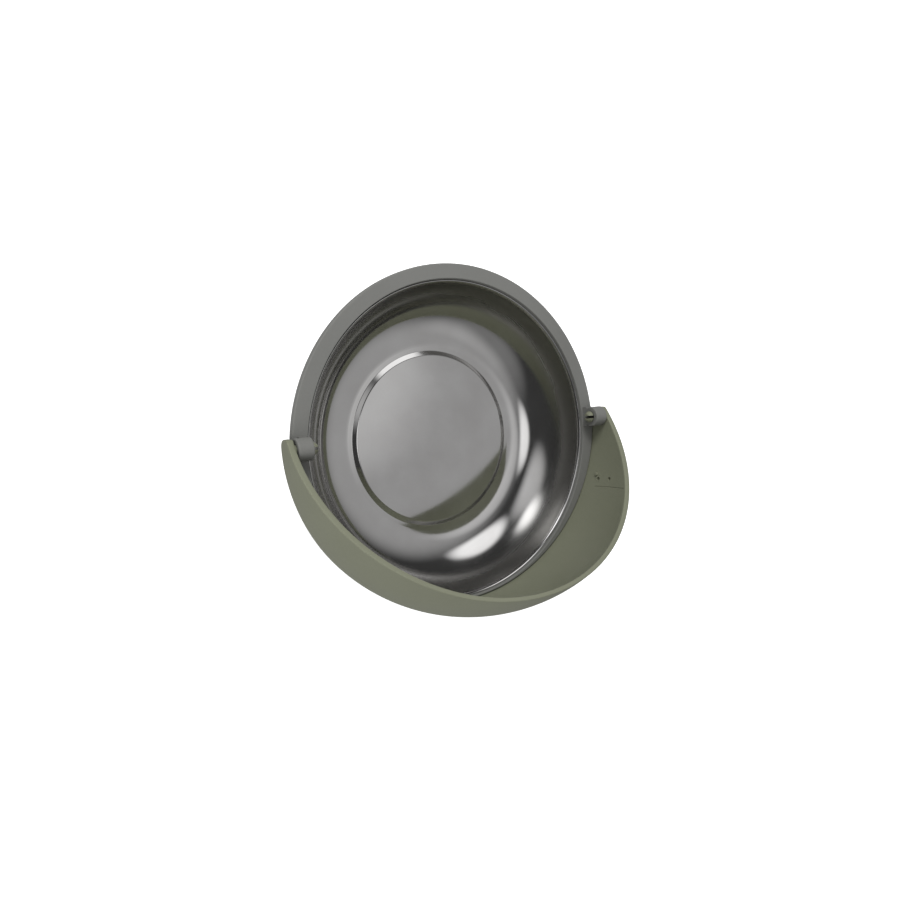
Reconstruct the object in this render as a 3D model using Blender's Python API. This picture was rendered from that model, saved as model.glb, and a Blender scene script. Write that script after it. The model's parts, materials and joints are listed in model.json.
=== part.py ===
"""Magnetic parts tray: a drawn steel dish on a magnet base, in a plastic rim frame with a swinging hood.

Metres, +Z up. The origin is the centre of the foot's underside. X runs along the hood's pivot line, and the
hood stands on the -Y side, raised as it is in use.
"""
import math

import bmesh
import bpy
from mathutils import Matrix, Vector

MM = 0.001

# Clearances
SEAT_GAP = 0.3 * MM          # between pieces that rest on or in one another
HOOD_GAP = 0.4 * MM          # between the frame's trimmed edge and the hood's inside
EAR_GAP = 0.8 * MM           # the same, at the ears

# Dish, a drawn sheet with a flared rim
DISH_RIM_R = 72.9 * MM       # outside of the flared rim
DISH_DEPTH = 25.9 * MM       # frame face to the floor's channel
SHEET = 0.8 * MM
RIM_ROUND = 3.5 * MM         # flare between wall and rim, on the dish's inner face
RIM_TILT = math.radians(20)  # slope that is left at the rim's edge
RIM_DROP = 1.5 * MM          # frame's face above the rim
WALL_DRAFT = math.radians(14)
FLOOR_ROUND = 26 * MM        # inside radius between wall and floor
PLATEAU_R = 40.8 * MM
PLATEAU_RISE = 1.2 * MM
PLATEAU_STEP = 1.8 * MM      # radial width of the step round the plateau
STEP_ROUND = 0.9 * MM

# Rim frame
FRAME_W = 6.8 * MM           # full width of the flat face
FRAME_LIP = 0.9 * MM         # width left where the hood passes
FRAME_T = 3.8 * MM
FRAME_EDGE = 0.6 * MM        # rounding of the frame's edges
SKIRT_DEPTH = 9.5 * MM       # collar below the face, round the dish's wall
SKIRT_T = 2.2 * MM

# Hood pivot and barrel lugs
PIVOT_Y = 4.7 * MM           # pivot line, off the dish's centre
PIVOT_RISE = 5.4 * MM        # pivot line above the frame's face
BARREL_R = 4.8 * MM
BARREL_INSET = 0.7 * MM      # frame's inner edge to the barrel's inner end
LUG_FOOT = 3.2 * MM          # length of the barrel that stands clear of its foot
PIN_R = 2.1 * MM
PIN_HEAD_R = 2.8 * MM
PIN_HEAD_L = 2.3 * MM
PIN_SLOT = 1.4 * MM
PIN_SLOT_L = 7.0 * MM
PIN_ROOT = 0.3 * MM          # pin into the ear's wall

# Hood
HOOD_T = 1.9 * MM
HOOD_EAR_T = 2.8 * MM        # the wall thickens towards the ears
HOOD_SIDE_ROOM = 1.2 * MM    # frame's edge to the inside of the ears
HOOD_BACK = 0.9 * MM         # middle of the shell's curve, behind the pivot line
HOOD_RISE = 2.0 * MM         # the same, above the pivot line
HOOD_OPEN = math.radians(35.7)   # free edge above the frame's plane
HOOD_LAP = 3.0 * MM          # free edge beyond the pivot line
EAR_BACK = 4.4 * MM          # ear behind the pivot line
EAR_ROUND = 4.5 * MM
EAR_NOSE_ROUND = 2.0 * MM

# Magnet base
BASE_H = 13.5 * MM           # foot to the dish's underside
BOOT_FLOOR = 2.2 * MM
BOOT_WALL = 4.5 * MM
BOOT_FLARE = 1.5 * MM        # the boot's rim is wider than its foot
BOOT_EDGE = 1.2 * MM
MAGNET_BORE_R = 18 * MM
MAGNET_EDGE = 0.8 * MM
MAGNET_ROOM = 1.2 * MM       # magnet to the plateau's underside wall
PLATE_T = 2.0 * MM
PLATE_LIP = 1.5 * MM         # plate beyond the magnet
HAT_R = 9.5 * MM             # drawn centre of the plate
HAT_FLARE = 3.0 * MM
HAT_ROUND = 1.0 * MM

# Centre fixing, M5
STUD_R = 2.5 * MM
STUD_FLANGE_R = 5.5 * MM
STUD_FLANGE_T = 1.2 * MM
STUD_END = 0.8 * MM          # stud beyond the nut
WASHER_R = 5.5 * MM
WASHER_T = 1.0 * MM
NUT_FLATS = 8.0 * MM
NUT_H = 3.8 * MM
STUD_CLEAR = 0.8 * MM        # stud's end above the boot's floor

# Facets
ROUND_STEPS = 72
BASE_STEPS = 48
SMALL_STEPS = 24
SHELL_RINGS = 36

# Heights
FLOOR_Z = BASE_H + SEAT_GAP + SHEET
PLATEAU_Z = FLOOR_Z + PLATEAU_RISE
FACE_Z = FLOOR_Z + DISH_DEPTH
FLARE_Z = FACE_Z - RIM_DROP - RIM_ROUND * math.cos(RIM_TILT)   # middle of the rim's flare
PIVOT = Vector((0, PIVOT_Y, FACE_Z + PIVOT_RISE))

# Fits
FLARE_R = DISH_RIM_R + (RIM_ROUND - SHEET) * math.sin(RIM_TILT)
FRAME_IN_R = DISH_RIM_R + SEAT_GAP
FRAME_R = FRAME_IN_R + FRAME_W
HOOD_IN_SIDE = FRAME_R + HOOD_SIDE_ROOM
HOOD_LOW = PIVOT_RISE + FRAME_T
SWEEP_R = math.hypot(FRAME_IN_R + FRAME_LIP + PIVOT_Y, PIVOT_RISE)
HOOD_IN_R = SWEEP_R + HOOD_GAP + HOOD_BACK + HOOD_RISE * HOOD_LOW / SWEEP_R
BORE_R = PIN_R + SEAT_GAP
HOLE_R = STUD_R + SEAT_GAP
BARREL_IN = FRAME_IN_R + BARREL_INSET
BARREL_FAR = BARREL_R + HOOD_BACK + HOOD_RISE
BARREL_OUT = HOOD_IN_SIDE * math.sqrt(1 - (BARREL_FAR / HOOD_IN_R) ** 2) - SEAT_GAP
MAGNET_R = PLATEAU_R - SHEET - MAGNET_ROOM
PLATE_R = MAGNET_R + PLATE_LIP
BOOT_IN_R = PLATE_R + SEAT_GAP


def material(name, colour, roughness, metallic=0.0):
    mat = bpy.data.materials.new(name)
    mat.use_nodes = True
    shader = mat.node_tree.nodes["Principled BSDF"]
    shader.inputs["Base Color"].default_value = (*colour, 1)
    shader.inputs["Roughness"].default_value = roughness
    shader.inputs["Metallic"].default_value = metallic
    mat.diffuse_color = (*colour, 1)
    return mat


def add_object(name, bm, mat=None, parent=None):
    """Turn a bmesh into a named object; with no material it is a hidden cutter."""
    bmesh.ops.recalc_face_normals(bm, faces=bm.faces)
    mesh = bpy.data.meshes.new(name)
    bm.to_mesh(mesh)
    bm.free()
    obj = bpy.data.objects.new(name, mesh)
    bpy.context.collection.objects.link(obj)
    obj.parent = parent
    if mat:
        mesh.materials.append(mat)
        mesh.shade_smooth()
        mesh.set_sharp_from_angle(angle=math.radians(35))
    else:
        obj.hide_render = True
        obj.display_type = 'WIRE'
    return obj


def boolean(obj, operation, tool):
    mod = obj.modifiers.new(operation.lower() + "_" + tool.name, 'BOOLEAN')
    mod.operation = operation
    mod.solver = 'EXACT'
    mod.object = tool


def arc(centre, radius, start, end, steps):
    """Points on an arc, angles in degrees from +r towards +z."""
    points = []
    for i in range(steps + 1):
        a = math.radians(start + (end - start) * i / steps)
        points.append((centre[0] + radius * math.cos(a), centre[1] + radius * math.sin(a)))
    return points


def rounded(corners, steps=3):
    """Polyline through (a, b, radius) corners, with an arc at each radius, in steps to a right angle."""
    points = []
    for i, (a, b, radius) in enumerate(corners):
        if radius == 0:
            points.append((a, b))
            continue
        here = Vector((a, b))
        back = Vector(corners[i - 1][:2]) - here
        ahead = Vector(corners[(i + 1) % len(corners)][:2]) - here
        half = back.angle(ahead) / 2
        centre = here + (back.normalized() + ahead.normalized()).normalized() * radius / math.sin(half)
        tangent = radius / math.tan(half)
        first = here + back.normalized() * tangent - centre
        turn = first.angle_signed(here + ahead.normalized() * tangent - centre)
        count = max(1, round(steps * abs(turn) / (math.pi / 2)))
        for k in range(count + 1):
            spoke = Matrix.Rotation(-turn * k / count, 2) @ first
            points.append(tuple(centre + spoke))
    return points


def revolve(profile, steps, axis=(0, 0, 1)):
    """Closed body from a profile of (r, h) points turned about Z, or about X with h along X."""
    about_x = axis[0] == 1
    bm = bmesh.new()
    verts = [bm.verts.new((h, r, 0) if about_x else (r, 0, h)) for r, h in profile]
    closed = profile[0][0] > 0 or profile[-1][0] > 0
    count = len(verts) if closed else len(verts) - 1
    edges = [bm.edges.new((verts[i], verts[(i + 1) % len(verts)])) for i in range(count)]
    bmesh.ops.spin(bm, geom=verts + edges, cent=(0, 0, 0), axis=axis, dvec=(0, 0, 0),
                   angle=2 * math.pi, steps=steps, use_merge=True)
    bmesh.ops.remove_doubles(bm, verts=bm.verts, dist=0.001 * MM)
    return bm


def prism(outline, axis_at, length, about):
    """Closed body from a 2-D outline: (y, z) swept along X, or (x, y) swept along Z."""
    bm = bmesh.new()
    if about == 'X':
        verts = [bm.verts.new((axis_at, a, b)) for a, b in outline]
        sweep = Vector((length, 0, 0))
    else:
        verts = [bm.verts.new((a, b, axis_at)) for a, b in outline]
        sweep = Vector((0, 0, length))
    face = bm.faces.new(verts)
    top = bmesh.ops.extrude_face_region(bm, geom=[face])
    bmesh.ops.translate(bm, vec=sweep, verts=[v for v in top["geom"] if isinstance(v, bmesh.types.BMVert)])
    return bm


def ellipsoid(half_x, half_round, centre=(0, 0, 0)):
    """Ellipsoid of revolution about X."""
    bm = bmesh.new()
    size = Matrix.Translation(centre) @ Matrix.Diagonal((half_x, half_round, half_round, 1))
    bmesh.ops.create_uvsphere(bm, u_segments=ROUND_STEPS, v_segments=SHELL_RINGS, radius=1,
                              matrix=size @ Matrix.Rotation(math.pi / 2, 4, 'Y'))
    return bm


def wall_r(z):
    """Radius of the dish wall's inner face at height z."""
    return FLARE_R - RIM_ROUND / math.cos(WALL_DRAFT) - math.tan(WALL_DRAFT) * (FLARE_Z - z)


def rim_flare(depth, steps=4):
    """Arc from the wall to the rim's edge, depth below the dish's inner face."""
    start = 180 - math.degrees(WALL_DRAFT)
    end = 90 + math.degrees(RIM_TILT)
    return arc((FLARE_R, FLARE_Z), RIM_ROUND - depth, start, end, steps)


def make_dish(mat):
    slope = math.atan2(PLATEAU_RISE, PLATEAU_STEP)
    back = SHEET * math.tan(slope / 2)
    side = SHEET / math.cos(WALL_DRAFT)
    under_z = FLOOR_Z - SHEET
    inside = rounded([
        (0, PLATEAU_Z, 0),
        (PLATEAU_R, PLATEAU_Z, STEP_ROUND + SHEET),
        (PLATEAU_R + PLATEAU_STEP, FLOOR_Z, STEP_ROUND),
        (wall_r(FLOOR_Z), FLOOR_Z, FLOOR_ROUND),
        (wall_r(FLARE_Z), FLARE_Z, 0),
    ], steps=7)[:-1]
    under = rounded([
        (wall_r(FLARE_Z) + side, FLARE_Z, 0),
        (wall_r(under_z) + side, under_z, FLOOR_ROUND + SHEET),
        (PLATEAU_R + PLATEAU_STEP - back, under_z, STEP_ROUND + SHEET),
        (PLATEAU_R - back, PLATEAU_Z - SHEET, STEP_ROUND),
        (0, PLATEAU_Z - SHEET, 0),
    ], steps=7)[1:]
    rim = rim_flare(0) + rim_flare(SHEET)[::-1]
    add_object("dish", revolve(inside + rim + under, ROUND_STEPS), mat)


def make_frame_ring(mat, pivot):
    side = (SHEET + SEAT_GAP) / math.cos(WALL_DRAFT)
    under_z = FACE_Z - FRAME_T
    skirt_z = FACE_Z - SKIRT_DEPTH
    seat = rim_flare(SHEET + SEAT_GAP, steps=3)
    section = rounded([
        (FRAME_IN_R, seat[-1][1], 0),
        (FRAME_IN_R, FACE_Z, FRAME_EDGE),
        (FRAME_R, FACE_Z, FRAME_EDGE),
        (FRAME_R, under_z, FRAME_EDGE),
        (wall_r(under_z) + side + SKIRT_T, under_z, 0),
        (wall_r(skirt_z) + side + SKIRT_T, skirt_z, 0),
        (wall_r(skirt_z) + side, skirt_z, 0),
    ], steps=2)
    ring = add_object("frame_ring", revolve(section + seat, ROUND_STEPS), mat)
    sweep = add_object("hood_sweep", ellipsoid(HOOD_IN_SIDE - EAR_GAP, SWEEP_R), parent=pivot)
    boolean(ring, 'INTERSECT', sweep)
    lug_in = FACE_Z - FRAME_T / 2 - PIVOT.z
    for name, sign in (("right", 1), ("left", -1)):
        barrel = revolve([(0, sign * BARREL_IN), (BARREL_R, sign * BARREL_IN),
                          (BARREL_R, sign * BARREL_OUT), (0, sign * BARREL_OUT)], SMALL_STEPS, axis=(1, 0, 0))
        boolean(ring, 'UNION', add_object("barrel_" + name, barrel, parent=pivot))
        foot = prism([(-BARREL_R, 0), (BARREL_R, 0), (BARREL_R, lug_in), (-BARREL_R, lug_in)],
                     sign * BARREL_IN, sign * (BARREL_OUT - BARREL_IN - LUG_FOOT), 'X')
        boolean(ring, 'UNION', add_object("lug_foot_" + name, foot, parent=pivot))
    reach = HOOD_IN_SIDE
    bore = revolve([(0, -reach), (BORE_R, -reach), (BORE_R, reach), (0, reach)], SMALL_STEPS, axis=(1, 0, 0))
    boolean(ring, 'DIFFERENCE', add_object("pin_bore", bore, parent=pivot))


def hood_outline():
    """Side view of the hood about its pivot: free edge, ears and the edge level with the frame's underside."""
    far = 2 * HOOD_IN_R
    rise = math.tan(HOOD_OPEN)
    lap = HOOD_LAP / math.cos(HOOD_OPEN)
    return rounded([
        (-far, -HOOD_LOW, 0),
        (EAR_BACK, -HOOD_LOW, EAR_ROUND),
        (EAR_BACK, lap - rise * EAR_BACK, EAR_NOSE_ROUND),
        (-far, lap + rise * far, 0),
    ], steps=4)


def make_snap_pin(name, sign, pivot):
    """Split pin on an ear: shank through the barrel, conical snap head past its inner end."""
    head_in = BARREL_IN - SEAT_GAP
    tip = head_in - PIN_HEAD_L
    root = HOOD_IN_SIDE + PIN_ROOT
    profile = [(0, tip), (PIN_R * 0.8, tip), (PIN_HEAD_R, head_in - PIN_HEAD_L * 0.3), (PIN_HEAD_R, head_in),
               (PIN_R, head_in), (PIN_R, root), (0, root)]
    shank = revolve([(r, sign * h) for r, h in profile], SMALL_STEPS, axis=(1, 0, 0))
    pin = add_object(name, shank, parent=pivot)
    half = PIN_SLOT / 2
    tall = PIN_HEAD_R * 2
    slot = prism([(-half, -tall), (half, -tall), (half, tall), (-half, tall)],
                 sign * (tip - PIN_HEAD_L), sign * (PIN_SLOT_L + PIN_HEAD_L), 'X')
    boolean(pin, 'DIFFERENCE', add_object(name + "_slot", slot, parent=pivot))
    return pin


def make_hood(mat, pivot):
    middle = (0, HOOD_BACK, HOOD_RISE)
    outside = ellipsoid(HOOD_IN_SIDE + HOOD_EAR_T, HOOD_IN_R + HOOD_T, middle)
    hood = add_object("swing_hood", outside, mat, pivot)
    hollow = add_object("hood_hollow", ellipsoid(HOOD_IN_SIDE, HOOD_IN_R, middle), parent=pivot)
    boolean(hood, 'DIFFERENCE', hollow)
    reach = 2 * HOOD_IN_SIDE
    outline = prism(hood_outline(), -reach, 2 * reach, 'X')
    boolean(hood, 'INTERSECT', add_object("hood_outline", outline, parent=pivot))
    boolean(hood, 'UNION', make_snap_pin("snap_pin_right", 1, pivot))
    boolean(hood, 'UNION', make_snap_pin("snap_pin_left", -1, pivot))


def make_magnet_base(rubber, steel, ferrite):
    boot_r = BOOT_IN_R + BOOT_WALL
    hat_foot = HAT_R + HAT_FLARE
    boot = rounded([
        (0, BOOT_FLOOR, 0),
        (BOOT_IN_R, BOOT_FLOOR, 0),
        (BOOT_IN_R, BASE_H, 0),
        (boot_r + BOOT_FLARE, BASE_H, BOOT_EDGE / 2),
        (boot_r, 0, BOOT_EDGE),
        (0, 0, 0),
    ], steps=3)
    add_object("base_cover", revolve(boot, BASE_STEPS), rubber)

    plate_z = BOOT_FLOOR + SEAT_GAP
    stud_z = BOOT_FLOOR + STUD_CLEAR
    nut_z = stud_z + STUD_END
    washer_z = nut_z + NUT_H + SEAT_GAP
    hat_z = washer_z + WASHER_T + SEAT_GAP
    plate = rounded([
        (HOLE_R, hat_z + PLATE_T, 0),
        (HAT_R + PLATE_T, hat_z + PLATE_T, HAT_ROUND),
        (hat_foot + PLATE_T, plate_z + PLATE_T, HAT_ROUND),
        (PLATE_R, plate_z + PLATE_T, 0),
        (PLATE_R, plate_z, 0),
        (hat_foot, plate_z, HAT_ROUND),
        (HAT_R, hat_z, HAT_ROUND),
        (HOLE_R, hat_z, 0),
    ], steps=2)
    add_object("pole_plate", revolve(plate, BASE_STEPS), steel)

    low = plate_z + PLATE_T + SEAT_GAP
    high = PLATEAU_Z - SHEET - SEAT_GAP
    magnet = rounded([
        (MAGNET_BORE_R, high, MAGNET_EDGE),
        (MAGNET_R, high, MAGNET_EDGE),
        (MAGNET_R, low, MAGNET_EDGE),
        (MAGNET_BORE_R, low, MAGNET_EDGE),
    ], steps=1)
    add_object("ring_magnet", revolve(magnet, BASE_STEPS), ferrite)

    stud = [(0, high), (STUD_FLANGE_R, high), (STUD_FLANGE_R, high - STUD_FLANGE_T),
            (STUD_R, high - STUD_FLANGE_T), (STUD_R, stud_z + STUD_END / 2),
            (STUD_R - STUD_END / 2, stud_z), (0, stud_z)]
    add_object("weld_stud", revolve(stud, SMALL_STEPS), steel)

    washer = [(HOLE_R, washer_z + WASHER_T), (WASHER_R, washer_z + WASHER_T), (WASHER_R, washer_z),
              (HOLE_R, washer_z)]
    add_object("plain_washer", revolve(washer, SMALL_STEPS), steel)

    corner = NUT_FLATS / 2 / math.cos(math.pi / 6)
    hexagon = arc((0, 0), corner, 0, 300, 5)
    nut = add_object("lock_nut", prism(hexagon, nut_z, NUT_H, 'Z'), steel)
    below = nut_z - NUT_H
    above = nut_z + 2 * NUT_H
    thread = revolve([(0, below), (HOLE_R, below), (HOLE_R, above), (0, above)], SMALL_STEPS)
    boolean(nut, 'DIFFERENCE', add_object("nut_thread", thread))


def main():
    for obj in list(bpy.data.objects):
        bpy.data.objects.remove(obj)
    pivot = bpy.data.objects.new("hood_pivot", None)
    bpy.context.collection.objects.link(pivot)
    pivot.location = PIVOT

    make_dish(material("stainless_steel", (0.62, 0.61, 0.60), 0.16, 1.0))
    make_frame_ring(material("frame_plastic", (0.19, 0.19, 0.18), 0.5), pivot)
    make_hood(material("hood_plastic", (0.165, 0.17, 0.13), 0.45), pivot)
    make_magnet_base(material("boot_rubber", (0.02, 0.02, 0.02), 0.75),
                     material("zinc_steel", (0.55, 0.56, 0.58), 0.35, 1.0),
                     material("ferrite", (0.05, 0.05, 0.055), 0.6))


main()
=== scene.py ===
# %% [markdown]
# # A magnetic parts tray with a swinging hood
# This notebook dresses a workshop tray: a mirror-polished steel dish on a magnet base, a grey plastic rim
# frame, and an olive-grey hood that swings on two pins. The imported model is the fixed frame. Each finer
# piece made here stands where the plain one stands, rides on the same body, and takes over its place in the
# picture.

# %% Load the frame
import json
import math

import bmesh
import bpy
from mathutils import Matrix, Vector


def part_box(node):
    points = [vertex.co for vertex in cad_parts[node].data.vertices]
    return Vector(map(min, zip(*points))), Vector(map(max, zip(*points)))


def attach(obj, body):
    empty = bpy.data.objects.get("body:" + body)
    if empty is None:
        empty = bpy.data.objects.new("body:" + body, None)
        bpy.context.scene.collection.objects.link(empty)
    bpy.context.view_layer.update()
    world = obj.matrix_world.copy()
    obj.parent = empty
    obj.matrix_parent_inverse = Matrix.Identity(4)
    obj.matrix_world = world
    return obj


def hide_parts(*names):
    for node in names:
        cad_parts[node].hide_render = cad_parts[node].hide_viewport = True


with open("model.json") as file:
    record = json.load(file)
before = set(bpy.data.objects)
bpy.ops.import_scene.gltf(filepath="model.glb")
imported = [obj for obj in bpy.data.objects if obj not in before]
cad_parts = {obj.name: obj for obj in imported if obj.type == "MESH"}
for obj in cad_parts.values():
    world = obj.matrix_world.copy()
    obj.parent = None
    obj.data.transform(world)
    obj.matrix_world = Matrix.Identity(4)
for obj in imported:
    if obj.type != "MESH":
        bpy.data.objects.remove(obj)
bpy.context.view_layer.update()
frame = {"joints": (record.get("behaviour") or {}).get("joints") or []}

# %% [markdown]
# ## Sizes
# Lengths below are in millimetres, because the pieces are a few millimetres thick, and a mesh is scaled to
# metres when it is made. What the frame can tell is read from it, so that the pieces meet. The rest are the
# sizes of a pressing's sheet, a moulding's wall and their rounded edges. Small edges without a size of
# their own get a fine or a crisp round.

# %% Sizes
MM = 0.001


def box_mm(node):
    """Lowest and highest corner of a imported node, in millimetres."""
    low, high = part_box(node)
    return low / MM, high / MM


dish_low, dish_high = box_mm("dish")
ring_high = box_mm("frame_ring")[1]
boot_high = box_mm("base_cover")[1]
plate_low, plate_high = box_mm("pole_plate")
magnet_low, magnet_high = box_mm("ring_magnet")
pivot = Vector(frame["joints"][0]["pos_m"]) / MM

SEAT_GAP = 0.3
SHEET = 0.8
FINE_EDGE = 0.3
CRISP_EDGE = 0.2
PIVOT_RISE = 5.4
RIM_R = dish_high.x
FACE_Z = pivot.z - PIVOT_RISE
FLOOR_Z = dish_low.z + SHEET
print(f"rim radius {RIM_R:.1f}, frame face at {FACE_Z:.1f}, dish floor at {FLOOR_Z:.1f}")

# %% [markdown]
# ## Camera
# The tray is seen from above, a little from its left, and close, so that the near side looks larger. The
# lens and the place were fitted once to the rim, the hood's edge and the two pivots. Turning the camera by
# hand until the rim overlaps would also do, but three angles, a place and a lens are easier to repeat.

# %% Camera
CAMERA_PLACE = Vector((-180.66, 31.26, 333.40))
CAMERA_TURN = (-3.540, -31.135, -4.460)
CAMERA_LENS = 30.186

camera_data = bpy.data.cameras.new("studio_camera")
camera = bpy.data.objects.new("studio_camera", camera_data)
bpy.context.scene.collection.objects.link(camera)
camera.location = CAMERA_PLACE * MM
camera.rotation_euler = [math.radians(a) for a in CAMERA_TURN]
camera_data.lens = CAMERA_LENS
camera_data.clip_start = 0.01
bpy.context.scene.camera = camera
print("camera", round((CAMERA_PLACE - Vector((0, 0, FACE_Z))).length), "mm from the rim's centre")

# %% [markdown]
# ## A helper for node trees
# Materials and Geometry Nodes are both trees of nodes. One helper adds a node, sets its options and fills
# its inputs: an input is either a plain value or the output of another node, which becomes a link.


# %% Node helper
def add_node(tree, kind, inputs=None, **options):
    made = tree.nodes.new(kind)
    for option, value in options.items():
        setattr(made, option, value)
    for socket, value in (inputs or {}).items():
        if isinstance(value, bpy.types.NodeSocket):
            tree.links.new(value, made.inputs[socket])
        else:
            made.inputs[socket].default_value = value
    return made


def calc(tree, operation, *values):
    """Output of a Math node."""
    return add_node(tree, 'ShaderNodeMath', dict(enumerate(values)), operation=operation).outputs[0]


def new_finish(name):
    """A material with its tree, its shader and its Object coordinates."""
    made = bpy.data.materials.new(name)
    made.use_nodes = True
    tree = made.node_tree
    place = add_node(tree, 'ShaderNodeTexCoord').outputs["Object"]
    return made, tree, tree.nodes["Principled BSDF"], place


def noise(tree, place, scale, detail=2.0, rough=0.5):
    """Noise in step with the piece's own coordinates, scale in features per metre."""
    made = add_node(tree, 'ShaderNodeTexNoise',
                    {"Vector": place, "Scale": scale, "Detail": detail, "Roughness": rough})
    return made.outputs["Fac"]


def span(tree, value, low, high, from_low=0.3, from_high=0.7):
    """Maps a value from its span, by default a noise's usual one, to low and high."""
    made = add_node(tree, 'ShaderNodeMapRange', {"Value": value, "From Min": from_low, "From Max": from_high,
                                                 "To Min": low, "To Max": high})
    return made.outputs["Result"]


def blend_colours(tree, share, first, second):
    made = add_node(tree, 'ShaderNodeMix', {0: share, 6: first, 7: second}, data_type='RGBA')
    return made.outputs[2]


def bump(tree, height, distance, strength=1.0, before=None):
    """Bump of that height in metres, laid over an earlier one."""
    made = add_node(tree, 'ShaderNodeBump', {"Height": height, "Distance": distance, "Strength": strength})
    if before:
        tree.links.new(before, made.inputs["Normal"])
    return made.outputs["Normal"]


print("node helpers ready")

# %% [markdown]
# ## Polished steel
# The dish is drawn from sheet and buffed while it turns, so what is left of the buffing are rings about its
# axis. The rings come from a noise that is read along the distance to the axis: it is quick and has no
# seam. Handling leaves soft smears in the gloss, and the drawing leaves the sheet very slightly wavy, which
# bends reflections. The steep wall is hard to reach with a buff, so it gets duller on its way up, and its
# colour is darkened there with painted shade. The rim is spared that painted shade and keeps its full
# colour. The heights between which that happens are given as depths below the frame's face.

# %% Polished steel
RING_STRETCH = 60.0
STEEL_DEEP = (0.60, 0.59, 0.585, 1)
STEEL_PALE = (0.66, 0.655, 0.65, 1)
# Colour that the wall is darkened towards: painted shade.
WALL_PAINTED_SHADE = (0.36, 0.355, 0.34, 1)
WALL_DULLNESS = 0.24
# Depths between which the wall gets duller and takes its painted shade.
DULL_SHADE_START = 21.5
DULL_SHADE_FULL = 8.5
RIM_START = 2.9
RIM_FULL = 2.1
WAVE_DEPTH = 0.06
RING_DEPTH = 0.002


def between_depths(tree, z, start, end):
    """Rises from 0 to 1 between two depths below the frame's face, in millimetres."""
    return span(tree, z, 0.0, 1.0, (FACE_Z - start) * MM, (FACE_Z - end) * MM)


def polished_steel():
    made, tree, shader, place = new_finish("polished_steel")
    x, y, z = add_node(tree, 'ShaderNodeSeparateXYZ', {"Vector": place}).outputs
    flat = add_node(tree, 'ShaderNodeCombineXYZ', {"X": x, "Y": y}).outputs[0]
    reach = add_node(tree, 'ShaderNodeVectorMath', {0: flat}, operation='LENGTH').outputs["Value"]
    across = calc(tree, 'MULTIPLY', reach, RING_STRETCH)
    height = calc(tree, 'MULTIPLY', z, RING_STRETCH)
    ringed = add_node(tree, 'ShaderNodeCombineXYZ', {"X": across, "Y": height, "Z": x}).outputs[0]
    rings = noise(tree, ringed, 45.0, 5.0, 0.7)
    smears = noise(tree, place, 55.0, 3.0)
    waves = noise(tree, place, 28.0, 1.0)
    buffed = blend_colours(tree, span(tree, smears, 0.0, 1.0), STEEL_DEEP, STEEL_PALE)
    below_rim = between_depths(tree, z, RIM_FULL, RIM_START)
    # Painted shade: one mask dulls the wall and darkens its colour towards the shade colour, sparing the rim.
    dull_shaded_wall = calc(tree, 'MULTIPLY', between_depths(tree, z, DULL_SHADE_START, DULL_SHADE_FULL), below_rim)
    tree.links.new(blend_colours(tree, dull_shaded_wall, buffed, WALL_PAINTED_SHADE), shader.inputs["Base Color"])
    gloss = calc(tree, 'ADD', span(tree, rings, 0.05, 0.10), span(tree, smears, -0.01, 0.04))
    tree.links.new(calc(tree, 'MULTIPLY_ADD', dull_shaded_wall, WALL_DULLNESS, gloss), shader.inputs["Roughness"])
    wavy = bump(tree, waves, WAVE_DEPTH * MM, 0.6)
    tree.links.new(bump(tree, rings, RING_DEPTH * MM, 0.5, wavy), shader.inputs["Normal"])
    shader.inputs["Metallic"].default_value = 1.0
    return made


steel = polished_steel()
print("made", steel.name)

# %% [markdown]
# ## Moulded plastic
# The frame and the hood are moulded in a die with a fine spark-eroded grain. The grain is a bump and a
# slight change of gloss, and the colour drifts a little over the piece as the pigment does. Pointiness
# could lighten the edges that hands rub, but it is worked out at the mesh's points, and on long flat faces
# it leaves stray streaks.

# %% Moulded plastic
GRAIN_DEPTH = 0.04
GLOSS_SPREAD = 0.06


def moulded_plastic(name, deep, pale, gloss, grain):
    made, tree, shader, place = new_finish(name)
    drift = noise(tree, place, 22.0, 3.0)
    speck = noise(tree, place, 900.0, 2.0)
    fine = noise(tree, place, grain, 3.0, 0.6)
    mottle = calc(tree, 'ADD', span(tree, drift, 0.0, 0.75), span(tree, speck, 0.0, 0.25))
    tree.links.new(blend_colours(tree, mottle, (*deep, 1), (*pale, 1)), shader.inputs["Base Color"])
    tree.links.new(span(tree, fine, gloss - GLOSS_SPREAD, gloss + GLOSS_SPREAD), shader.inputs["Roughness"])
    tree.links.new(bump(tree, fine, GRAIN_DEPTH * MM, 0.35), shader.inputs["Normal"])
    shader.inputs["Specular IOR Level"].default_value = 0.4
    return made


frame_plastic = moulded_plastic("frame_plastic", (0.149, 0.150, 0.141), (0.169, 0.170, 0.161), 0.50, 2600.0)
hood_plastic = moulded_plastic("hood_plastic", (0.168, 0.175, 0.124), (0.188, 0.195, 0.142), 0.46, 3200.0)
print("made", frame_plastic.name, "and", hood_plastic.name)

# %% [markdown]
# ## Finishes of the base
# Under the dish sit a ferrite ring, zinc-plated steel and a rubber boot. Ferrite is a dull dark ceramic
# with specks, zinc plating has a faint mottle, and rubber is nearly black with a trace of grey dust.

# %% Finishes of the base
PORE_DEPTH = 0.03
PORES_PER_MOTTLE = 12
BASE_GLOSS_SPREAD = 0.08


def base_finish(name, deep, pale, gloss, scale, metallic=0.0):
    made, tree, shader, place = new_finish(name)
    mottle = noise(tree, place, scale, 4.0, 0.6)
    fine = noise(tree, place, scale * PORES_PER_MOTTLE, 2.0)
    colour = blend_colours(tree, span(tree, mottle, 0.0, 1.0), (*deep, 1), (*pale, 1))
    tree.links.new(colour, shader.inputs["Base Color"])
    rough = span(tree, fine, gloss - BASE_GLOSS_SPREAD, gloss + BASE_GLOSS_SPREAD)
    tree.links.new(rough, shader.inputs["Roughness"])
    tree.links.new(bump(tree, fine, PORE_DEPTH * MM, 0.4), shader.inputs["Normal"])
    shader.inputs["Metallic"].default_value = metallic
    return made


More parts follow.
